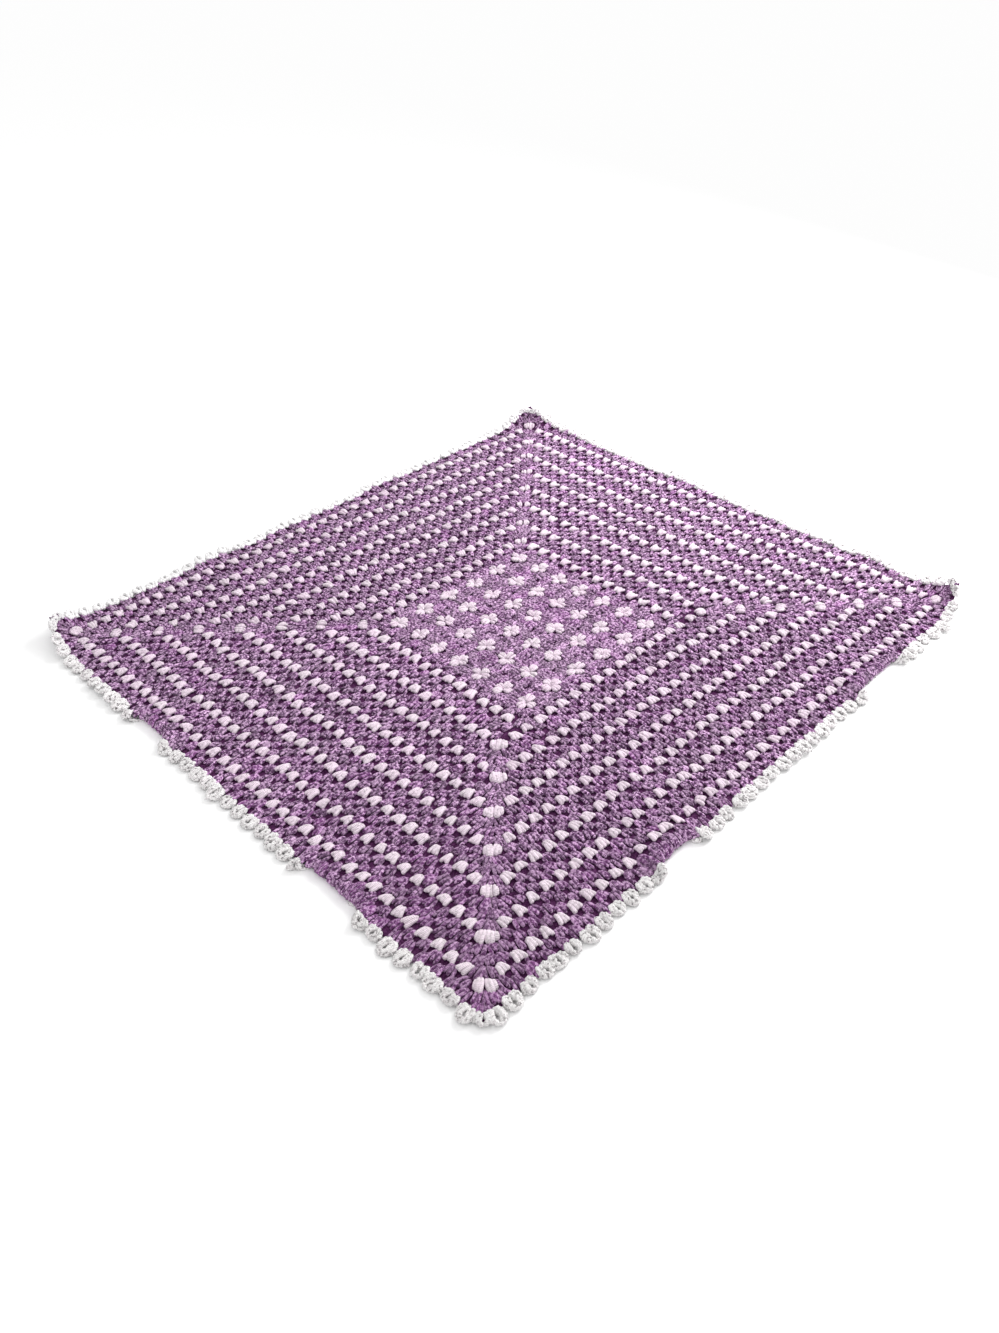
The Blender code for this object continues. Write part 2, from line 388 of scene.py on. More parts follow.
@dataclass
class Shape:
    """A small thing of yarn that is repeated: its points, faces and strands."""

    points: Array
    loops: Array
    sizes: Array
    around: Array
    length: Array
    strand: Array

    @classmethod
    def of(cls, strands: list[Strand], sides: int = 6) -> "Shape":
        """Makes a shape of several strands.

        Args:
            strands: the tubes, in millimetres.
            sides: how many sides each tube has.

        Returns:
            The shape, in metres.
        """
        return cls.joined([cls.tube(strand, sides, i) for i, strand in enumerate(strands)])

    @classmethod
    def tube(cls, strand: Strand, sides: int, number: int) -> "Shape":
        """Makes a straight closed tube, and moves its rings onto a strand's way.

        Args:
            strand: the tube, in millimetres.
            sides: how many sides it has.
            number: its number in the shape.

        Returns:
            A shape of that one strand.
        """
        bm = bmesh.new()
        bmesh.ops.create_circle(bm, cap_ends=True, segments=sides, radius=1.0)
        rim = bm.edges[:]
        for _ in strand.way[1:]:
            made = bmesh.ops.extrude_edge_only(bm, edges=rim)["geom"]
            verts = [g for g in made if isinstance(g, bmesh.types.BMVert)]
            rim = [g for g in made if isinstance(g, bmesh.types.BMEdge)]
            rim = [e for e in rim if all(v in verts for v in e.verts)]
            bmesh.ops.translate(bm, vec=(0.0, 0.0, 1.0), verts=verts)
        bmesh.ops.contextual_create(bm, geom=rim)
        bmesh.ops.recalc_face_normals(bm, faces=bm.faces)
        bm.verts.index_update()
        unit = np.array([v.co[:] for v in bm.verts])
        loops = np.array([v.index for f in bm.faces for v in f.verts])
        sizes = np.array([len(f.verts) for f in bm.faces])
        bm.free()
        way = np.array(strand.way) * MM
        step = np.gradient(way, axis=0)
        step /= np.linalg.norm(step, axis=1, keepdims=True)
        across = np.cross(step, (0.0, 0.0, 1.0))
        across /= np.linalg.norm(across, axis=1, keepdims=True)
        over = np.cross(across, step)
        at = np.rint(unit[:, 2]).astype(int)
        wide, high = np.array(strand.wide)[at] * MM, np.array(strand.high)[at] * MM
        points = way[at] + across[at] * (wide * unit[:, 0])[:, None]
        points += over[at] * (high * unit[:, 1])[:, None]
        legs = np.linalg.norm(np.diff(way, axis=0), axis=1)
        length = np.concatenate([[0.0], np.cumsum(legs)])[at]
        return cls(points, loops, sizes, unit[:, :2], length, np.full(len(points), number))

    @classmethod
    def joined(cls, shapes: "list[Shape]") -> "Shape":
        """Puts several shapes together as one.

        Args:
            shapes: the shapes, in the order of their strands.

        Returns:
            The whole shape.
        """
        parts = {part.name: [getattr(shape, part.name) for shape in shapes]
                 for part in fields(cls)}
        starts = np.cumsum([0] + [len(shape.points) for shape in shapes])
        parts["loops"] = [loops + start for loops, start in zip(parts["loops"], starts)]
        return cls(**{name: np.concatenate(values) for name, values in parts.items()})


@dataclass(frozen=True)
class Cluster:
    """Three trebles worked into one space, close at the foot and fanned at the top.

    Sizes are in millimetres, for a cluster 21 wide and a round 10 high. The first
    three are how far the outer trebles stand off the middle one, on the way out.
    Drop, blunt and heel are shares: of the height at the end, of the thickness at
    the end and of the thickness at the foot.
    """

    foot: float = 2.5
    waist: float = 4.6
    top: float = 5.5
    wide: float = 2.35
    high: float = 1.9
    middle: float = 2.7
    start: float = -2.2
    end: float = 11.6
    crown: float = 0.4
    proud: float = 0.3
    drop: float = 0.55
    blunt: float = 0.55
    heel: float = 0.60
    short: float = 0.0
    sides: int = 5

    def shape(self, turn: int = 0) -> Shape:
        """The three trebles.

        Args:
            turn: which way from the middle treble they get shorter, if either.

        Returns:
            The cluster, from its foot outwards.
        """
        share = (0.0, 0.16, 0.40, 0.66, 0.88, 1.0)
        rise = (0.62, 1.05, 1.12, 1.08, 0.95, self.drop)
        offs = (self.foot, self.waist, self.top, self.top)
        lanes = np.interp(share, (0.0, 0.45, 0.88, 1.0), offs)
        wide = tuple(self.wide * w for w in (self.heel, 0.90, 1.0, 1.05, 1.0, self.blunt))
        high = tuple(self.high * h for h in (self.heel, 0.95, 1.08, 1.05, 0.95, self.blunt))
        strands = []
        for lane in (-1, 0, 1):
            less = self.short * (1 + lane * turn) ** 1.5 * abs(turn)
            start = self.start + less
            end = self.end - less + (0.0 if lane else self.crown)
            lift = 0.0 if lane else self.proud
            way = tuple((lane * a, start + (end - start) * s, self.middle * r + lift)
                        for a, s, r in zip(lanes, share, rise))
            strands.append(Strand(way, wide, high))
        return Shape.of(strands, self.sides)


@dataclass(frozen=True)
class Petal:
    """Three trebles that open outwards from the middle of a small square."""

    root: float = 0.8
    reach: float = 13.4
    crown: float = 1.1
    spread: float = 3.7
    wide: float = 2.35
    high: float = 2.3

    def shape(self) -> Shape:
        """The three trebles.

        Returns:
            The petal, from the square's middle outwards.
        """
        share = (0.0, 0.25, 0.5, 0.75, 0.92, 1.0)
        side = (0.25, 0.6, 0.9, 1.0, 0.92, 0.75)
        rise = (1.8, 3.4, 4.1, 4.2, 3.9, 2.9)
        wide = tuple(self.wide * w for w in (0.55, 0.85, 1.0, 1.08, 0.95, 0.65))
        high = tuple(self.high * h for h in (0.5, 0.85, 1.0, 1.05, 0.95, 0.6))
        strands = []
        for lane in (-1, 0, 1):
            far = self.reach - (self.crown if lane else 0.0)
            way = tuple((self.spread * lane * a, self.root + (far - self.root) * s, r)
                        for a, s, r in zip(side, share, rise))
            strands.append(Strand(way, wide, high))
        return Shape.of(strands)


# A shell's treble from foot to rim: the share of its length and of its reach
# sideways, its height in millimetres, its size and how much of the slit it takes.
POST_WAY = (
    (0.0, 0.45, 3.0, 0.85, 0.0),
    (0.14, 0.66, 4.5, 1.15, 0.0),
    (0.32, 0.82, 4.2, 0.92, 0.3),
    (0.50, 0.94, 4.8, 1.14, 0.8),
    (0.68, 1.0, 4.2, 0.92, 1.0),
    (0.86, 1.0, 4.0, 1.28, 0.3),
    (1.0, 0.96, 2.8, 1.0, 0.0),
)
# A link's way: the share of its reach sideways, how far out it is and its height.
LINK_WAY = ((0.0, 5.0, 2.2), (0.45, 7.6, 2.6), (0.8, 8.8, 2.2), (1.0, 9.0, 1.6))


@dataclass(frozen=True)
class Shell:
    """One scallop of the edging: trebles that fan out from one foot, under a rim.

    Sizes are in millimetres and leans in degrees. The slit parts the two middle
    trebles, and the link reaches halfway to the next shell.
    """

    leans: tuple[float, ...] = (-82.0, -50.0, -17.0, 17.0, 50.0, 82.0)
    foot: float = 0.6
    base: float = 7.5
    reach: float = 16.8
    flank: float = 8.3
    link: float = 11.4
    wide: float = 2.3
    high: float = 2.4
    rim: float = 1.9
    rim_end: float = 88.0
    lump: float = 0.26
    slit: float = 1.5

    def shape(self) -> Shape:
        """The whole scallop.

        Returns:
            The shell, from inside the border's outer line outwards.
        """
        posts = [self.post(lean) for lean in self.leans]
        links = [self.link_strand(way) for way in (-1, 1)]
        return Shape.of([*posts, *links, self.rim_strand()])

    def end(self, lean: float) -> tuple[float, float]:
        """Where a line at an angle from straight out meets the rim."""
        turn = math.radians(lean)
        return self.flank * math.sin(turn), self.base + (self.reach - self.base) * math.cos(turn)

    def post(self, lean: float) -> Strand:
        """One treble, from the foot to its knot at the rim.

        Args:
            lean: its angle from straight out.

        Returns:
            The strand.
        """
        end = self.end(lean)
        slit = math.copysign(self.slit, lean) if abs(lean) < 30 else 0.0
        way, wide, high = [], [], []
        for share, side, rise, size, part in POST_WAY:
            out = self.foot + (end[1] - self.foot) * share
            way.append((end[0] * side + slit * part, out, rise))
            wide.append(self.wide * size)
            high.append(self.high * size)
        return Strand(tuple(way), tuple(wide), tuple(high))

    def link_strand(self, way: int) -> Strand:
        """The low strand that joins the shell to the next one, or to the last."""
        path = tuple((way * self.link * across, out, rise) for across, out, rise in LINK_WAY)
        return Strand(path, (1.3, 1.7, 1.7, 1.2), (1.3, 1.6, 1.5, 1.0))

    def rim_strand(self) -> Strand:
        """The rim over the trebles' ends, lumpy where each meets it.

        Returns:
            The strand, from one flank to the other.
        """
        way, thick, lumps = [], [], 7
        for i in range(-lumps, lumps + 1):
            share = i / lumps
            lump = 1 + self.lump * math.cos(math.pi * i)
            across, out = self.end(self.rim_end * share)
            way.append((across * 1.04, out + 0.3 * lump, 2.9 - 0.8 * share**2))
            thick.append(self.rim * lump * (1 - 0.3 * abs(share) ** 3))
        return Strand(tuple(way), tuple(thick), tuple(thick))


# Where the stitches go


class Spot(NamedTuple):
    """Where one copy of a shape goes on the flat cloth.

    That is its root, the direction in which it points, and its scale along the
    side, outwards and upwards.
    """

    root: Array
    out: Array
    size: Point


Spots = list[Spot]


@dataclass
class Row:
    """A colour's clusters: those along a side, and those at its corners.

    The pair at a corner stands so many millimetres off the mitre, and slants away.
    The corner's spots are kept apart by the way in which that is. Its clusters may
    be smaller at the three corners that aren't the near one.
    """

    off: float
    slant: float
    shrinks: bool = False
    plain: Spots = field(default_factory=list)
    corner: dict[int, Spots] = field(default_factory=lambda: {-1: [], 1: []})


@dataclass(frozen=True)
class Hand:
    """How unevenly the stitches are worked."""

    shift: float = 0.6 * MM
    lift: float = 0.25 * MM
    strand: float = 0.42 * MM
    turn: float = 7.0
    size: float = 0.07


class Crochet:
    """One piece of crochet, gathered from copies of a few shapes."""

    def __init__(self, name: str, cloth: Cloth, middle: Array, seed: int) -> None:
        """Starts an empty piece.

        Args:
            name: the piece's name.
            cloth: the flat cloth and its folds.
            middle: where the panel's middle lies on the floor.
            seed: what its unevenness starts from.
        """
        self.name, self.cloth, self.middle = name, cloth, middle
        self.chance = np.random.default_rng(seed)
        self.parts: dict[str, list[Array]] = {
            name: [] for name in ("flat", "loops", "sizes", "ply", "yarn", "tone")}
        self.count = 0

    def work(self, shape: Shape, spots: Spots, ply: Ply, hand: Hand = Hand()) -> None:
        """Adds copies of a shape.

        Args:
            shape: what is repeated.
            spots: where the copies go.
            ply: the yarn that they are made of.
            hand: how unevenly they are worked.
        """
        number, corners = len(spots), len(shape.points)
        if number == 0:
            return
        root, out, size = (np.array(part) for part in zip(*spots))
        strands, normal = int(shape.strand.max()) + 1, self.chance.normal
        turn = np.radians(normal(0, hand.turn, number))
        out /= np.linalg.norm(out, axis=1, keepdims=True)
        cos, sin = np.cos(turn), np.sin(turn)
        out = np.stack([out[:, 0] * cos - out[:, 1] * sin, out[:, 0] * sin + out[:, 1] * cos], 1)
        along = np.stack([out[:, 1], -out[:, 0]], 1)
        size = size * (1 + normal(0, hand.size, (number, 3)))
        local = shape.points[None] * size[:, None]
        local = local + normal(0, hand.strand, (number, strands, 3))[:, shape.strand]
        local[..., 2] += normal(0, hand.lift, (number, 1))
        root = root + normal(0, hand.shift, (number, 2))
        flat = np.empty((number, corners, 3))
        flat[..., :2] = root[:, None] + local[..., :1] * along[:, None]
        flat[..., :2] += local[..., 1:2] * out[:, None]
        flat[..., 2] = np.maximum(local[..., 2], 0.2 * MM)
        offset = self.chance.uniform(0, 1, (number, strands))[:, shape.strand]
        tone = self.chance.uniform(0, 1, (number, 1)) * STITCH_TONE
        own = self.chance.uniform(0, 1 - STITCH_TONE, (number, strands))
        tone = tone + own[:, shape.strand]
        yarn = np.empty((number, corners, 3))
        yarn[..., :2] = shape.around
        yarn[..., 2] = shape.length / MM / YARN_UNIT + offset
        starts = self.count + corners * np.arange(number)
        self.count += corners * number
        made = {
            "flat": flat.reshape(-1, 3),
            "loops": (shape.loops[None] + starts[:, None]).ravel(),
            "sizes": np.tile(shape.sizes, number),
            "ply": np.full(len(shape.sizes) * number, ply.value),
            "yarn": yarn.reshape(-1, 3),
            "tone": tone.ravel(),
        }
        for name, values in made.items():
            self.parts[name].append(values)

    def piece(self, materials: list[Material]) -> Object:
        """Lays the crochet down and makes it one object.

        Args:
            materials: its yarns', by their ply's number.

        Returns:
            The finished object.
        """
        part = {name: np.concatenate(values) for name, values in self.parts.items()}
        laid = self.cloth.laid(part["flat"]) + self.middle
        loops, sizes = part["loops"], part["sizes"]
        mesh = bpy.data.meshes.new(self.name)
        mesh.vertices.add(len(laid))
        mesh.vertices.foreach_set("co", laid.ravel())
        mesh.loops.add(len(loops))
        mesh.loops.foreach_set("vertex_index", loops)
        mesh.polygons.add(len(sizes))
        mesh.polygons.foreach_set("loop_start", np.cumsum(sizes) - sizes)
        mesh.polygons.foreach_set("material_index", part["ply"])
        mesh.polygons.foreach_set("use_smooth", np.ones(len(sizes), dtype=bool))
        mesh.update(calc_edges=True)
        self.note(mesh, "yarn", "FLOAT_VECTOR", "vector", part["yarn"])
        self.note(mesh, "tone", "FLOAT", "value", part["tone"])
        self.note(mesh, "deep", "FLOAT", "value", part["flat"][:, 2] / MM)
        for material in materials:
            mesh.materials.append(material)
        triangles = int((sizes - 2).sum())
        log.info("%s: %d points, %d triangles", self.name, len(laid), triangles)
        return placed(self.name, mesh)

    @staticmethod
    def note(mesh: bpy.types.Mesh, name: str, kind: str, key: str, values: Array) -> None:
        """Stores a value for each point of a mesh."""
        mesh.attributes.new(name, kind, "POINT").data.foreach_set(key, values.ravel())


# Finishes


class Wiring:
    """Short ways to add and join the nodes of one material."""

    def __init__(self, name: str) -> None:
        """Starts a material with only its shader and output.

        Args:
            name: the material's name.
        """
        self.material = bpy.data.materials.new(name)
        self.material.use_nodes = True
        self.tree = self.material.node_tree
        self.shader = self.tree.nodes["Principled BSDF"]

    def fill(self, node: bpy.types.Node, sources: dict[object, object]) -> Sockets:
        """Joins or sets a node's inputs.

        Args:
            node: the node.
            sources: a socket, number or colour for each input, by its name or number.

        Returns:
            The node's outputs.
        """
        for key, source in sources.items():
            if isinstance(source, Socket):
                self.tree.links.new(source, node.inputs[key])
            else:
                value = (*source, 1.0) if isinstance(source, tuple) else source
                node.inputs[key].default_value = value
        return node.outputs

    def node(self, kind: str, sources: dict[object, object], **settings: object) -> Sockets:
        """Adds a node.

        Args:
            kind: its type, without the shader nodes' prefix.
            sources: what goes into its inputs.
            settings: its properties.

        Returns:
            The node's outputs.
        """
        made = self.tree.nodes.new("ShaderNode" + kind)
        for key, value in settings.items():
            setattr(made, key, value)
        return self.fill(made, sources)

    def shade(self, sources: dict[object, object]) -> None:
        """Joins or sets the shader's inputs."""
        self.fill(self.shader, sources)

    def given(self, name: str) -> Sockets:
        """A value stored in the mesh, as a number and as a vector."""
        return self.node("Attribute", {}, attribute_name=name)

    def place(self) -> Socket:
        """The piece's own coordinates."""
        return self.node("TexCoord", {})["Object"]

    def split(self, vector: Socket) -> Sockets:
        """A vector's three parts."""
        return self.node("SeparateXYZ", {0: vector})

    def math(self, operation: str, *values: object) -> Socket:
        """A Math node's result."""
        return self.node("Math", dict(enumerate(values)), operation=operation)[0]

    def mix(self, share: object, first: object, second: object, blend: str = "MIX") -> Socket:
        """A colour between two, or one blended over the other."""
        sources = {0: share, 6: first, 7: second}
        return self.node("Mix", sources, data_type="RGBA", blend_type=blend)[2]

    def between(self, value: object, span: Range, start: float, end: float) -> Socket:
        """A value carried from one range to another, held at its ends."""
        return self.node("MapRange", dict(enumerate((value, *span, start, end))))[0]

    def noise(self, place: Socket, scale: float, detail: float, rough: float) -> Socket:
        """Noise over a set of coordinates."""
        sources = {"Vector": place, "Scale": scale, "Detail": detail, "Roughness": rough}
        return self.node("TexNoise", sources)[0]

    def bump(self, height: Socket, strength: float, distance: float) -> Socket:
        """A normal bent by a height."""
        sources = {"Height": height, "Strength": strength, "Distance": distance}
        return self.node("Bump", sources)[0]

    def ramp(self, value: Socket, stops: tuple[tuple[float, Colour], ...]) -> Socket:
        """A colour picked along a row of stops.

        Args:
            value: the place along the row, from 0 to 1.
            stops: the places and colours of the stops.

        Returns:
            The colour.
        """
        made = self.tree.nodes.new("ShaderNodeValToRGB")
        points = made.color_ramp.elements
        while len(points) < len(stops):
            points.new(1.0)
        for point, (place, colour) in zip(points, stops):
            point.position, point.color = place, (*colour, 1.0)
        return self.fill(made, {0: value})[0]


@dataclass(frozen=True)
class Yarn:
    """A plied yarn: its colours, its twist and its nap.

    Twist is in millimetres a turn, and fuzz, blotch, fleck and hue are scales of
    noise. Dark_flecks, light_flecks and shadow_flecks are the noise where each
    starts and is full, and warm_tones and cool_tones the tones where the dye
    drifts; the shadow flecks are painted shadow of small holes, by shadow_speck.
    Groove_shade is painted shade in the grooves between the plies. The other ranges
    are in metres on the floor, but for sunk, which is in millimetres above the
    cloth's underside: near_corner (x + y) greys by near_greying, nearest_corner
    (x + y) darkens with painted shade by near_shade times painted_shade, the
    heights in raised_shade darken raised edges and curled tips with painted shade
    by painted_shade, the back edge is lightened with painted light by
    painted_back_light, and what is sunk darkens with painted shade by pit_shade.
    """

    name: str
    shadow: Colour
    plies: tuple[Colour, ...]
    warm: Colour
    cool: Colour
    painted_back_light_colour: Colour = (0.98, 0.97, 0.975)
    twist: float = 4.8
    groove_shade: float = 0.45
    groove_shade_edge: float = 0.55
    marl: float = 1.2
    fuzz: float = 900.0
    blotch: float = 480.0
    fleck: float = 310.0
    hue: float = 22.0
    dark_flecks: Range = (0.49, 0.45)
    light_flecks: Range = (0.52, 0.565)
    shadow_flecks: Range = (0.42, 0.35)
    warm_tones: Range = (0.72, 1.1)
    cool_tones: Range = (0.68, 0.3)
    near_corner: Range = (-0.35, -0.8)
    nearest_corner: Range = (-0.45, -0.85)
    raised_shade: Range = (0.009, 0.026)
    back_edge: Range = (0.40, 0.44)
    sunk: Range = (3.0, 0.3)
    drift: float = 0.8
    shadow_speck: float = 0.0
    near_greying: float = 0.0
    painted_shade: float = 0.0
    near_shade: float = 0.75
    painted_back_light: float = 0.0
    uneven: float = 0.3
    pit_shade: float = 0.8
    roughness: float = 0.92
    sheen: float = 0.5
    fray: float = 0.12
    specular: float = 0.2
    nap: float = 0.8
    nap_depth: float = 0.7 * MM

    @property
    def darkest(self) -> Colour:
        """Its darkest ply."""
        return min(self.plies, key=sum)

    @property
    def lightest(self) -> Colour:
        """Its lightest ply."""
        return max(self.plies, key=sum)

    def material(self) -> Material:
        """The yarn's material.

        Returns:
            A material that reads the crochet's yarn, tone and deep values.
        """
        w = Wiring(self.name)
        place, tone, deep = w.place(), w.given("tone")["Fac"], w.given("deep")["Fac"]
        fuzz = w.noise(place, self.fuzz, 3.0, 0.6)
        turns = self.turns(w, fuzz)
        across = w.math("FRACT", w.math("MULTIPLY", turns, len(self.plies)))
        crown = w.math("SINE", w.math("MULTIPLY", across, math.pi))
        colour = self.spun(w, place, turns)
        colour = self.dyed_and_shaded(w, place, tone, colour)
        # The tone's last digits are as good as another random number.
        other = w.math("FRACT", w.math("MULTIPLY", tone, 13.0))
        worn = w.between(other, (0.0, 1.0), 1.0 - self.uneven, 1.0 + self.uneven)
        colour = w.mix(1.0, colour, worn, "MULTIPLY")
        # Painted shade: the yarn darkens towards its shadow colour in the grooves between the
        # plies and low down between the strands.
        dark = w.math("MAXIMUM", w.between(crown, (0.0, self.groove_shade_edge), self.groove_shade, 0.0),
                      w.between(deep, self.sunk, 0.0, self.pit_shade))
        colour = w.mix(dark, colour, self.shadow)
        # Painted light: the yarn at the back edge is lightened towards near white, as where
        # strong light washes it out.
        painted_back_light = w.between(w.split(place)[1], self.back_edge, 0.0, self.painted_back_light)
        relief = w.math("ADD", crown, w.math("MULTIPLY", fuzz, 0.5))
        w.shade({
            "Base Color": w.mix(painted_back_light, colour, self.painted_back_light_colour),
            "Roughness": self.roughness,
            "Specular IOR Level": self.specular,
            "Sheen Weight": self.sheen,
            "Sheen Roughness": 0.5,
            "Sheen Tint": self.lightest,
            "Normal": w.bump(relief, self.nap, self.nap_depth),
        })
        return w.material

    def turns(self, w: Wiring, fuzz: Socket) -> Socket:
        """How many turns the plies have made at each place, a little frayed.

        Args:
            w: the material.
            fuzz: the noise that frays them.

        Returns:
            The turns.
        """
        x, y, length = w.split(w.given("yarn")["Vector"])
        around = w.math("DIVIDE", w.math("ARCTAN2", y, x), math.tau)
        along = w.math("MULTIPLY", length, YARN_UNIT / self.twist)
        return w.math("ADD", w.math("ADD", around, along), w.math("MULTIPLY", fuzz, self.fray))

    def spun(self, w: Wiring, place: Socket, turns: Socket) -> Socket:
        """The colour of the plies, marled and flecked, with specks of painted shadow.

        Args:
            w: the material.
            place: its coordinates.
            turns: how many turns the plies have made.

        Returns:
            The colour.
        """
        blotch = w.math("MULTIPLY", w.noise(place, self.blotch, 2.0, 0.7), self.marl)
        picked = w.math("FRACT", w.math("ADD", w.math("FRACT", turns), blotch))
        count = len(self.plies)
        stops = tuple((i / count, colour) for i, colour in enumerate(self.plies))
        colour = w.ramp(picked, (*stops, (1.0, self.plies[0])))
        fleck = w.noise(place, self.fleck, 2.0, 0.65)
        # The last flecks are painted shadow: dark specks where small holes between the strands
        # are in shade.
        for span, share, ply in ((self.dark_flecks, 0.9, self.darkest),
                                 (self.light_flecks, 0.9, self.lightest),
                                 (self.shadow_flecks, self.shadow_speck, self.shadow)):
            colour = w.mix(w.between(fleck, span, 0.0, share), colour, ply)
        return colour

    def dyed_and_shaded(self, w: Wiring, place: Socket, tone: Socket, colour: Socket) -> Socket:
        """The colour as the dye drifts and greys towards the near corner, with painted shade
        towards the nearest corner and on raised edges.

        Args:
            w: the material.
            place: its coordinates.
            tone: each stitch's own tone.
            colour: the plies' colour.

        Returns:
            The colour.
        """
        x, y, height = w.split(place)
        corner = w.math("ADD", x, y)
        hue = w.math("MULTIPLY", w.noise(place, self.hue, 2.0, 0.6), 0.8)
        lean = w.math("ADD", w.math("MULTIPLY", tone, 0.6), hue)
        warm = w.between(lean, self.warm_tones, 0.0, self.drift)
        # Greyer towards the near corner, as well as where the dye drifts cool.
        cool = w.math("MAXIMUM", w.between(lean, self.cool_tones, 0.0, self.drift),
                      w.between(corner, self.near_corner, 0.0, self.near_greying))
        # Painted shade: darker and deeper purple towards the nearest corner.
        near_shade = w.between(corner, self.nearest_corner, 0.0, self.painted_shade * self.near_shade)
        colour = w.mix(warm, colour, w.mix(0.5, colour, self.warm))
        colour = w.mix(cool, colour, w.mix(0.5, colour, self.cool))
        colour = w.mix(near_shade, colour, tuple(0.45 * part for part in self.warm))
        # Painted shade: raised edges and curled tips go towards the darkest ply.
        return w.mix(w.between(height, self.raised_shade, 0.0, self.painted_shade), colour, self.darkest)


PURPLE_YARN = Yarn(
    "marled_purple_yarn",
    shadow=(0.040, 0.009, 0.042),
    plies=((0.045, 0.008, 0.050), (0.27, 0.095, 0.29), (0.80, 0.54, 0.79), (0.27, 0.078, 0.28)),
    warm=(0.36, 0.085, 0.37),
    cool=(0.31, 0.225, 0.305),
    groove_shade=0.6,
    shadow_speck=0.75,
    painted_shade=0.5,
)
PALE_YARN = Yarn(
    "pale_pink_yarn",
    shadow=(0.24, 0.19, 0.24),
    plies=((0.77, 0.60, 0.735), (0.86, 0.715, 0.83), (0.70, 0.59, 0.665)),
    warm=(0.81, 0.60, 0.74),
    cool=(0.72, 0.70, 0.67),
    groove_shade=0.35,
    marl=0.6,
    shadow_speck=0.55,
    uneven=0.07,
    pit_shade=0.25,
    near_greying=0.6,
)
CREAM_YARN = Yarn(
    "cream_edging_yarn",
    shadow=(0.09, 0.08, 0.085),
    plies=((0.93, 0.90, 0.905), (0.97, 0.96, 0.955), (0.83, 0.78, 0.80)),
    warm=(0.88, 0.75, 0.84),
    cool=(0.56, 0.54, 0.53),
    groove_shade=0.22,
    painted_back_light=0.8,
    drift=0.3,
    near_greying=0.6,
    sheen=1.0,
    marl=0.6,
    shadow_speck=1.0,
    uneven=0.08,
)


@dataclass(frozen=True)
class ShadedBackYarn:
    """The purple yarn behind the clusters, darkened with painted shade as it shows in the
    spaces.
    """

    name: str = "purple_yarn_in_shade"
    # Both colours are the purple yarn darkened with painted shade.
    dark: Colour = (0.042, 0.008, 0.040)
    light: Colour = (0.12, 0.036, 0.115)
    scale: float = 520.0

    def material(self) -> Material:
        """The yarn's material.

        Returns:
            A dark, mottled material with the yarn's nap.
        """
        w = Wiring(self.name)
        mottle = w.noise(w.place(), self.scale, 2.0, 0.7)
        share = w.between(mottle, (0.4, 0.65), 0.0, 1.0)
        w.shade({
            "Base Color": w.mix(share, self.dark, self.light),
            "Roughness": 1.0,
            "Specular IOR Level": 0.1,
            "Normal": w.bump(mottle, 0.6, 0.6 * MM),
        })
        return w.material


# The sub-assemblies


@dataclass
class Ground:
    """The strands behind the clusters, one thin cloth that closes the spaces; its dark colour is
    painted shade over the purple yarn.
    """

    cloth: Cloth
    middle: Array
    cell: float = 0.006
    low: float = 0.9 * MM
    thickness: float = 0.4 * MM
    overhang: float = 0.003
    name: str = "back_strands"

    def edge(self, side: Side) -> float:
        """How far its edge is from the centre on one side."""
        return self.cloth.border_edge(side) + self.overhang

    @property
    def flat(self) -> tuple[float, float]:
        """Its flat length along X and along Y."""
        return (self.edge(Side.LEFT) + self.edge(Side.RIGHT),
                self.edge(Side.FRONT) + self.edge(Side.BACK))

    def build(self, yarn: Material) -> Object:
        """Cuts the cloth flat, gives it its thickness and lays it down.

        Args:
            yarn: what it is made of.

        Returns:
            The cloth, which stands for the border's CAD node with the clusters.
        """
        size = self.flat
        bm = bmesh.new()
        cells = [round(length / self.cell) for length in size]
        bmesh.ops.create_grid(bm, x_segments=cells[0], y_segments=cells[1], size=0.5)
        bmesh.ops.scale(bm, vec=(size[0], size[1], 1.0), verts=bm.verts)
        shift = (size[0] / 2 - self.edge(Side.LEFT), size[1] / 2 - self.edge(Side.FRONT))
        bmesh.ops.translate(bm, vec=(*shift, self.low), verts=bm.verts)
        bmesh.ops.solidify(bm, geom=bm.faces[:], thickness=self.thickness)
        bmesh.ops.recalc_face_normals(bm, faces=bm.faces)
        mesh = bpy.data.meshes.new(self.name)
        bm.to_mesh(mesh)
        bm.free()
        flat = np.empty(3 * len(mesh.vertices))
        mesh.vertices.foreach_get("co", flat)
        laid = self.cloth.laid(flat.reshape(-1, 3)) + self.middle
        mesh.vertices.foreach_set("co", laid.ravel())
        mesh.shade_smooth()
        mesh.materials.append(yarn)
        piece = placed(self.name, mesh)
        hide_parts("border_rounds")
        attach(piece, "root")
        log.info("%s: %d points", self.name, len(mesh.vertices))
        return piece


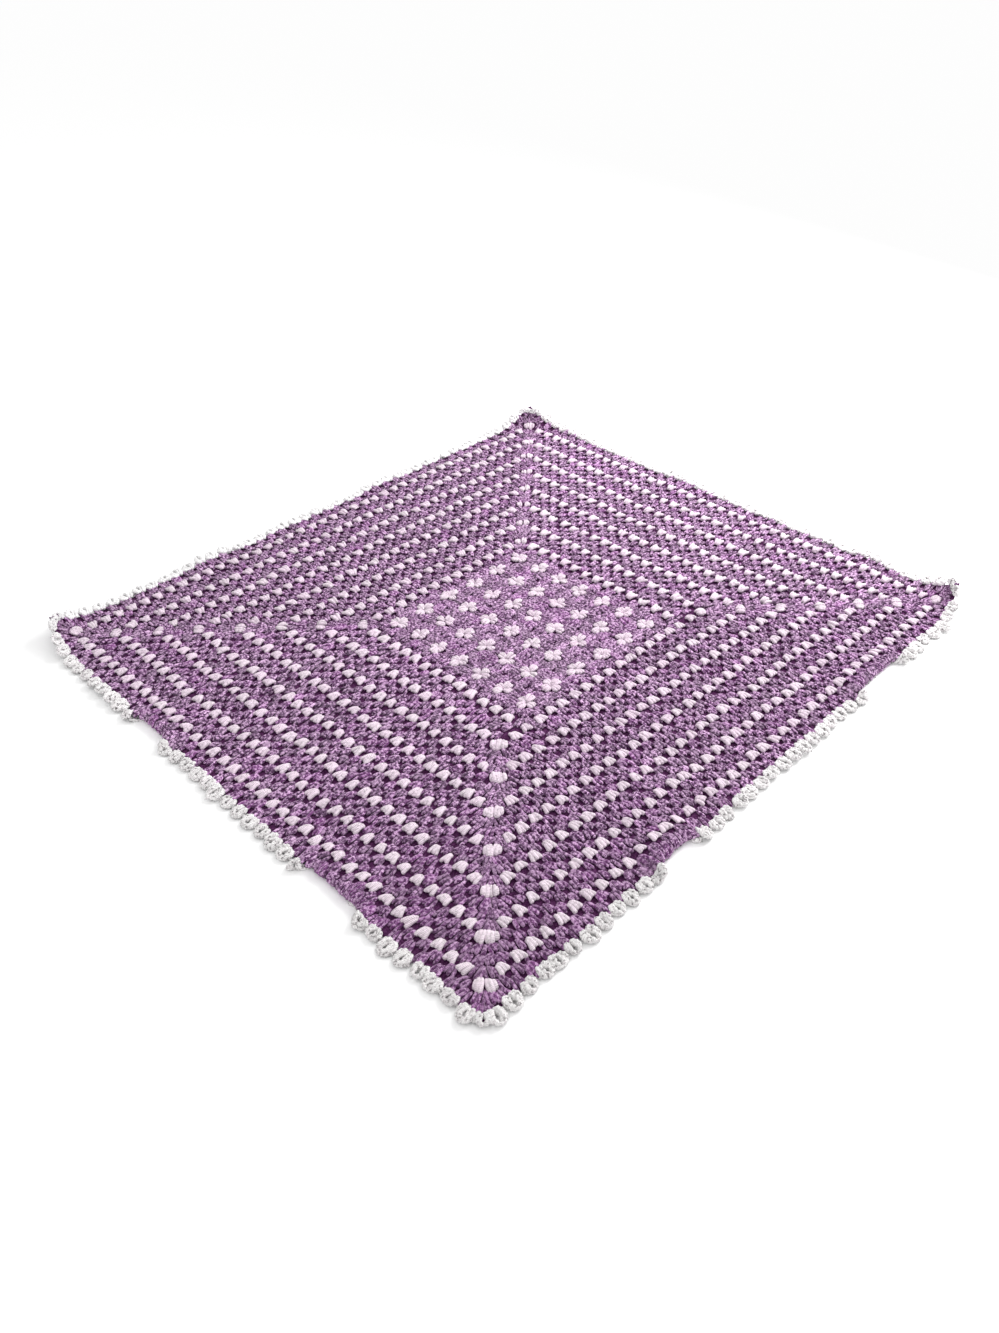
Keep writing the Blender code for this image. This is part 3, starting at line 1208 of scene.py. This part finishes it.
@dataclass
class CentrePanel:
    """The panel of small squares, each a pale cross in a purple square.

    A square's purple clusters stand in pairs beside each petal, with one at its tip.
    Their places are shares of the square. Petal_side and fill_long are the square
    and the room that a petal and a cluster of size 1 fill.
    """

    cloth: Cloth
    middle: Array
    petal: Petal = field(default_factory=Petal)
    fill: Cluster = field(default_factory=lambda: Cluster(
        foot=3.2, waist=4.9, top=5.6, start=-2.0, end=14.4, wide=2.7, high=2.0))
    petal_side: float = 0.045
    fill_side: float = 0.24
    fill_root: float = 0.42
    fill_lean: float = 0.10
    fill_long: float = 0.0128
    tip_root: float = 0.66
    tip_size: Range = (0.8, 0.85)
    seed: int = 11
    name: str = "panel_squares"

    def build(self, materials: list[Material]) -> Object:
        """Works the squares.

        Args:
            materials: the purple yarn's and the pale yarn's.

        Returns:
            The panel, which stands for its CAD node.
        """
        crochet = Crochet(self.name, self.cloth, self.middle, self.seed)
        petals: Spots = []
        fills: Spots = []
        for column in range(self.cloth.squares[0]):
            for row in range(self.cloth.squares[1]):
                self.square(petals, fills, column, row)
        crochet.work(self.petal.shape(), petals, Ply.PALE)
        crochet.work(self.fill.shape(), fills, Ply.PURPLE)
        piece = crochet.piece(materials)
        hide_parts("centre_panel")
        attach(piece, "root")
        return piece

    def square(self, petals: Spots, fills: Spots, column: int, row: int) -> None:
        """Sets the petals and the purple clusters of one square.

        Args:
            petals: what its petals are added to.
            fills: what its purple clusters are added to.
            column: its place along X.
            row: its place along Y.
        """
        pitch, count = np.array(self.cloth.square), np.array((column, row))
        at = (count + 0.5) * pitch - [self.cloth.panel_half(axis) for axis in (0, 1)]
        for side in Side:
            reach, beside = pitch[side.axis] / 2, pitch[1 - side.axis]
            stretch = pitch[side.axis] / self.petal_side
            petals.append(Spot(at, side.out, (1.0, stretch, 1.0)))
            long = reach * (1 - self.fill_root) / self.fill_long
            for half in (-1, 1):
                root = side.place(reach * self.fill_root, half * self.fill_side * beside)
                lean = side.place(1.0, half * self.fill_lean)
                fills.append(Spot(at + root, lean, (1.0, long, 1.0)))
            long = reach * (1 - self.tip_root) / self.fill_long
            tip = side.place(reach * self.tip_root, 0.0)
            wide, high = self.tip_size
            fills.append(Spot(at + tip, side.out, (wide, long, high)))


@dataclass
class BorderSide:
    """One side of the border: its share of every round, out to the mitres.

    Pitch and round are a cluster's usual width and length. Corner is the share of
    the pitch between a mitre and the first cluster, and last is how much longer the
    outermost clusters are. A filler is an extra cluster between two of those, beside
    a tuck, where the folded cloth would show.
    """

    side: Side
    cloth: Cloth
    middle: Array
    pitch: float = 0.021
    round: float = 0.010
    band: int = 4
    full_rounds: int = 27
    first_clusters: int = 14
    full_clusters: tuple[int, int] = (17, 19)
    short: float = 0.1
    corner: float = 0.25
    corner_out: float = 0.5 * MM
    corner_size: Range = (0.8, 0.85)
    last: float = 1.35
    filler_beyond: float = 0.015
    filler_out: float = 0.002
    filler_size: Range = (0.85, 0.8)
    seed: int = 20
    purple: Cluster = field(default_factory=Cluster)
    pale: Cluster = field(default_factory=lambda: Cluster(
        foot=2.1, waist=3.1, top=4.8, wide=2.75, high=2.5, middle=4.4, start=-2.4, end=10.7,
        crown=-0.7, drop=0.85, blunt=0.75, heel=0.95, sides=6))
    corner_purple: Cluster = field(default_factory=lambda: Cluster(
        foot=2.3, waist=4.5, top=5.4, start=-2.5, end=13.5))
    corner_pale: Cluster = field(default_factory=lambda: Cluster(
        foot=2.5, waist=3.5, top=3.0, wide=3.0, high=2.8, middle=4.4, start=-2.8, end=14.8,
        drop=0.7, blunt=0.5, short=1.25, sides=7))

    @property
    def name(self) -> str:
        """The piece's name."""
        return f"border_{self.side.name.lower()}"

    def build(self, materials: list[Material]) -> Object:
        """Works this side's rounds.

        Args:
            materials: the purple yarn's and the pale yarn's.

        Returns:
            The piece, which stands for the border's CAD node with the other sides.
        """
        seed = self.seed + list(Side).index(self.side)
        crochet = Crochet(self.name, self.cloth, self.middle, seed)
        purple, pale = Row(off=3.4, slant=0.48), Row(off=5.0, slant=0.0, shrinks=True)
        ends = (self.reach(end, 0.5) for end in self.side.ends)
        self.row(purple, 0, *ends, self.first_clusters)
        if self.side is not Side.FRONT:
            for turn in range(self.band):
                self.half_band_round(purple if turn else pale, turn + 1)
        for turn in range(self.full_rounds):
            self.full_round(purple if turn % self.band else pale, turn)
        crochet.work(self.purple.shape(), purple.plain, Ply.PURPLE)
        crochet.work(self.pale.shape(), pale.plain, Ply.PALE)
        for turn in (-1, 1):
            crochet.work(self.corner_purple.shape(), purple.corner[turn], Ply.PURPLE)
            crochet.work(self.corner_pale.shape(turn), pale.corner[turn], Ply.PALE)
        piece = crochet.piece(materials)
        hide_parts("border_rounds")
        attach(piece, "root")
        return piece

    def first(self, side: Side) -> int:
        """The first full round's place on a side, in rounds from the panel."""
        return 1 if side is Side.FRONT else 1 + self.band

    def reach(self, end: Side, rounds: float) -> float:
        """Where a round meets the mitre at one end, along this side."""
        return end.sign * self.cloth.line(end, rounds)

    def half_band_round(self, row: Row, turn: int) -> None:
        """A round of the band that goes round three sides only.

        Args:
            row: what its clusters are added to.
            turn: its number from the panel.
        """
        low, high = (self.reach(end, turn + 0.5) for end in self.side.ends)
        if self.side is Side.BACK:
            self.row(row, turn, low, high, self.first_clusters + turn)
            return
        low = self.reach(Side.FRONT, 1.0)
        pitch = (high - low) / (self.first_clusters + turn / 2 - self.short)
        for i in range(self.first_clusters + turn // 2):
            self.cluster(row, turn, high - (self.corner + i) * pitch, pitch, int(i == 0))

    def full_round(self, row: Row, turn: int) -> None:
        """A round that goes all the way round.

        Args:
            row: what its clusters are added to.
            turn: its number from the first of them.
        """
        low, high = (self.reach(end, self.first(end) + turn + 0.5) for end in self.side.ends)
        count = self.full_clusters[self.side.axis] + turn
        self.row(row, self.first(self.side) + turn, low, high, count)

    def row(self, row: Row, rounds: int, low: float, high: float, count: int) -> None:
        """Sets one round's clusters between its two mitres.

        Args:
            row: what they are added to.
            rounds: the round, counted from the panel.
            low: where it meets the mitre at the side's low end.
            high: where it meets the other mitre.
            count: how many clusters it has.
        """
        pitch = (high - low) / (count - 1 + 2 * self.corner)
        for i in range(count):
            end = (i == count - 1) - (i == 0)
            self.cluster(row, rounds, low + (self.corner + i) * pitch, pitch, end)

    def cluster(self, row: Row, rounds: int, along: float, pitch: float, end: int) -> None:
        """Sets one cluster, turned to the corner if it is the first or last.

        Args:
            row: what it is added to.
            rounds: its round, counted from the panel.
            along: its middle, along the side.
            pitch: how far the next one is.
            end: -1 or 1 for the first and last of the round, 0 for the others.
        """
        side, line = self.side, self.cloth.line(self.side, rounds)
        wide, long = pitch / self.pitch, self.cloth.height(side) / self.round
        if end:
            self.corner_cluster(row, rounds, long, side.ends[end > 0])
            return
        last = rounds == self.cloth.rounds(side) - 1
        long *= self.last if last else 1.0
        row.plain.append(Spot(side.place(line, along), side.out, (wide, long, 1.0)))
        between = along + pitch / 2
        if last and self.cloth.tucked(side, between, self.filler_beyond):
            share, high = self.filler_size
            place = side.place(line + self.filler_out, between)
            row.plain.append(Spot(place, side.out, (share * wide, long, high)))

    def corner_cluster(self, row: Row, rounds: int, long: float, other: Side) -> None:
        """Sets one cluster of the pair at the corner with another side.

        Args:
            row: what it is added to.
            rounds: its round, counted on this side.
            long: its length.
            other: the side that it turns to.
        """
        side = self.side
        missing = self.first(other) - self.first(side)
        beyond = self.reach(other, rounds + missing if rounds else 0)
        out = side.out + other.out
        out = out / np.linalg.norm(out)
        across = side.out - out * (side.out @ out)
        across = across / np.linalg.norm(across)
        place = side.place(self.cloth.line(side, rounds), beyond)
        place = place + across * row.off * MM + out * self.corner_out
        turn = 1 if across @ (out[1], -out[0]) > 0 else -1
        wide = 1.0
        if row.shrinks and side.curled(other):
            wide, long = self.corner_size[0], self.corner_size[1] * long
        row.corner[turn].append(Spot(place, out + across * row.slant, (wide, long, wide)))


@dataclass
class EdgingSide:
    """One side of the shell edging, with the shell at its corner with the next side.

    Tucked is how much further out the shells of a tuck are, and turned how much is
    left free at each corner. The lengths are shares of a shell's: in a tuck, beside
    a curled corner and on one.
    """

    side: Side
    cloth: Cloth
    middle: Array
    shell: Shell = field(default_factory=Shell)
    usual: float = 0.0223
    tucked: float = 0.006
    tucked_beyond: float = 0.010
    turned: float = 0.003
    lean: float = 0.35
    cut: float = 0.004
    curled_cut: float = 1.5
    tucked_length: float = 0.7
    curled_length: float = 0.55
    corner_length: float = 0.42
    seed: int = 40
    hand: Hand = Hand(shift=0.7 * MM, lift=0.4 * MM, strand=0.5 * MM, turn=7.0, size=0.08)

    @property
    def name(self) -> str:
        """The piece's name."""
        return f"edging_{self.side.name.lower()}"

    def build(self, materials: list[Material]) -> Object:
        """Works this side's shells.

        Args:
            materials: the edging yarn's.

        Returns:
            The piece, which stands for the edging's CAD node with the other sides.
        """
        seed = self.seed + list(Side).index(self.side)
        crochet = Crochet(self.name, self.cloth, self.middle, seed)
        spots: Spots = []
        low, high = (end.sign * self.cloth.border_edge(end) for end in self.side.ends)
        count = self.cloth.shells[1 - self.side.axis]
        pitch = (high - low - 2 * self.turned) / count
        for i in range(count):
            end = (i == count - 1) - (i == 0)
            self.add_shell(spots, low + self.turned + (i + 0.5) * pitch, pitch, end)
        spots.append(self.corner_shell())
        crochet.work(self.shell.shape(), spots, Ply.CREAM, self.hand)
        piece = crochet.piece(materials)
        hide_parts("shell_edging")
        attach(piece, "root")
        return piece

    def add_shell(self, spots: Spots, along: float, pitch: float, end: int) -> None:
        """Sets one shell, which leans to the corner if it is the first or last.

        Args:
            spots: what it is added to.
            along: its middle, along the side.
            pitch: how far the next one is.
            end: -1 or 1 for the first and last of the side, 0 for the others.
        """
        side, length = self.side, 1.0
        out = self.cloth.border_edge(side)
        if self.cloth.tucked(side, along, self.tucked_beyond):
            out, length = out + self.tucked, self.tucked_length
        elif end and side.curled(side.ends[end > 0]):
            length = self.curled_length
        lean = side.place(1.0, self.lean * end)
        spots.append(Spot(side.place(out, along), lean, (pitch / self.usual, length, 1.0)))

    def corner_shell(self) -> Spot:
        """The shell at the corner with the next side.

        Returns:
            Where it goes.
        """
        other = self.side.next
        curled = self.side.curled(other)
        edge = other.sign * self.cloth.border_edge(other)
        corner = self.side.place(self.cloth.border_edge(self.side), edge)
        out = self.side.out + other.out
        cut = self.cut * (self.curled_cut if curled else 1.0)
        return Spot(corner - out * cut, out, (1.0, self.corner_length if curled else 1.0, 1.0))


@dataclass(frozen=True)
class Studio:
    """The pale floor, the soft lights and the camera."""

    lens: float = 29.97
    sensor: float = 36.0
    place: Point = (-0.9071, -0.8961, 0.9079)
    right: Point = (0.7137, -0.70032, -0.01347)
    down: Point = (-0.43417, -0.42721, -0.79309)
    floor_size: float = 40.0
    floor_colour: Colour = (0.985, 0.985, 0.985)
    surround: float = 1.0
    key_place: Point = (1.15, -0.2, 0.85)
    key_size: float = 1.0
    key_power: float = 28.0

    def camera(self, middle: Array) -> None:
        """Sets the camera.

        Args:
            middle: the panel's middle, from which its place is given.
        """
        lens = bpy.data.cameras.new("studio_camera")
        lens.sensor_fit = "VERTICAL"
        lens.sensor_height = self.sensor
        lens.lens = self.lens
        lens.clip_end = 200.0
        thing = placed("studio_camera", lens)
        across = Vector(self.right).normalized()
        upwards = -Vector(self.down)
        upwards = (upwards - across * upwards.dot(across)).normalized()
        back = across.cross(upwards)
        turn = Matrix((across, upwards, back)).transposed().to_4x4()
        thing.matrix_world = Matrix.Translation(Vector(self.place) + Vector(middle)) @ turn
        bpy.context.scene.camera = thing

    def floor(self) -> None:
        """The pale floor."""
        bm = bmesh.new()
        bmesh.ops.create_grid(bm, x_segments=2, y_segments=2, size=self.floor_size / 2)
        mesh = bpy.data.meshes.new("studio_floor")
        bm.to_mesh(mesh)
        bm.free()
        w = Wiring("pale_floor")
        w.shade({"Base Color": self.floor_colour, "Roughness": 1.0, "Specular IOR Level": 0.0})
        mesh.materials.append(w.material)
        placed("studio_floor", mesh)

    def light(self) -> None:
        """A bright even surround, with one broad soft light from the far right."""
        world = bpy.data.worlds.new("studio_world")
        world.use_nodes = True
        sky = world.node_tree.nodes["Background"]
        sky.inputs["Color"].default_value = (1.0, 1.0, 1.0, 1.0)
        sky.inputs["Strength"].default_value = self.surround
        bpy.context.scene.world = world
        bpy.context.scene.view_settings.view_transform = "Standard"
        lamp = bpy.data.lights.new("key_light", "AREA")
        lamp.shape, lamp.size, lamp.energy = "SQUARE", self.key_size, self.key_power
        thing = placed("key_light", lamp)
        thing.location = self.key_place
        thing.rotation_euler = (-Vector(self.key_place)).to_track_quat("-Z", "Y").to_euler()


def main() -> None:
    """Builds the blanket's pieces in order; each logs its size as it is made."""
    logging.basicConfig(level=logging.INFO, format="%(message)s")
    cloth = Cloth()
    low, high = (np.array(corner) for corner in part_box("centre_panel"))
    middle = (low + high) / 2 * (1, 1, 0)
    studio = Studio()
    studio.camera(middle)
    studio.floor()
    studio.light()
    purple, pale, cream = (yarn.material() for yarn in (PURPLE_YARN, PALE_YARN, CREAM_YARN))
    back = ShadedBackYarn().material()
    ground = Ground(cloth, middle)
    cloth_piece = ground.build(back)
    worked = [CentrePanel(cloth, middle).build([purple, pale])]
    for side in Side:
        worked.append(BorderSide(side, cloth, middle).build([purple, pale]))
        worked.append(EdgingSide(side, cloth, middle).build([cream]))
    ground.flat


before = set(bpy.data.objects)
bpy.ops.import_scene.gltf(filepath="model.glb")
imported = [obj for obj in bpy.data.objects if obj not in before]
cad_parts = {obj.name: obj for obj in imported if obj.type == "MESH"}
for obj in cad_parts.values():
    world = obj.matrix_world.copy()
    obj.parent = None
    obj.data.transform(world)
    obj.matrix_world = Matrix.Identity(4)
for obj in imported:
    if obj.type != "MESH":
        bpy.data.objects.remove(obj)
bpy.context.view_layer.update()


if __name__ == "__main__":
    main()
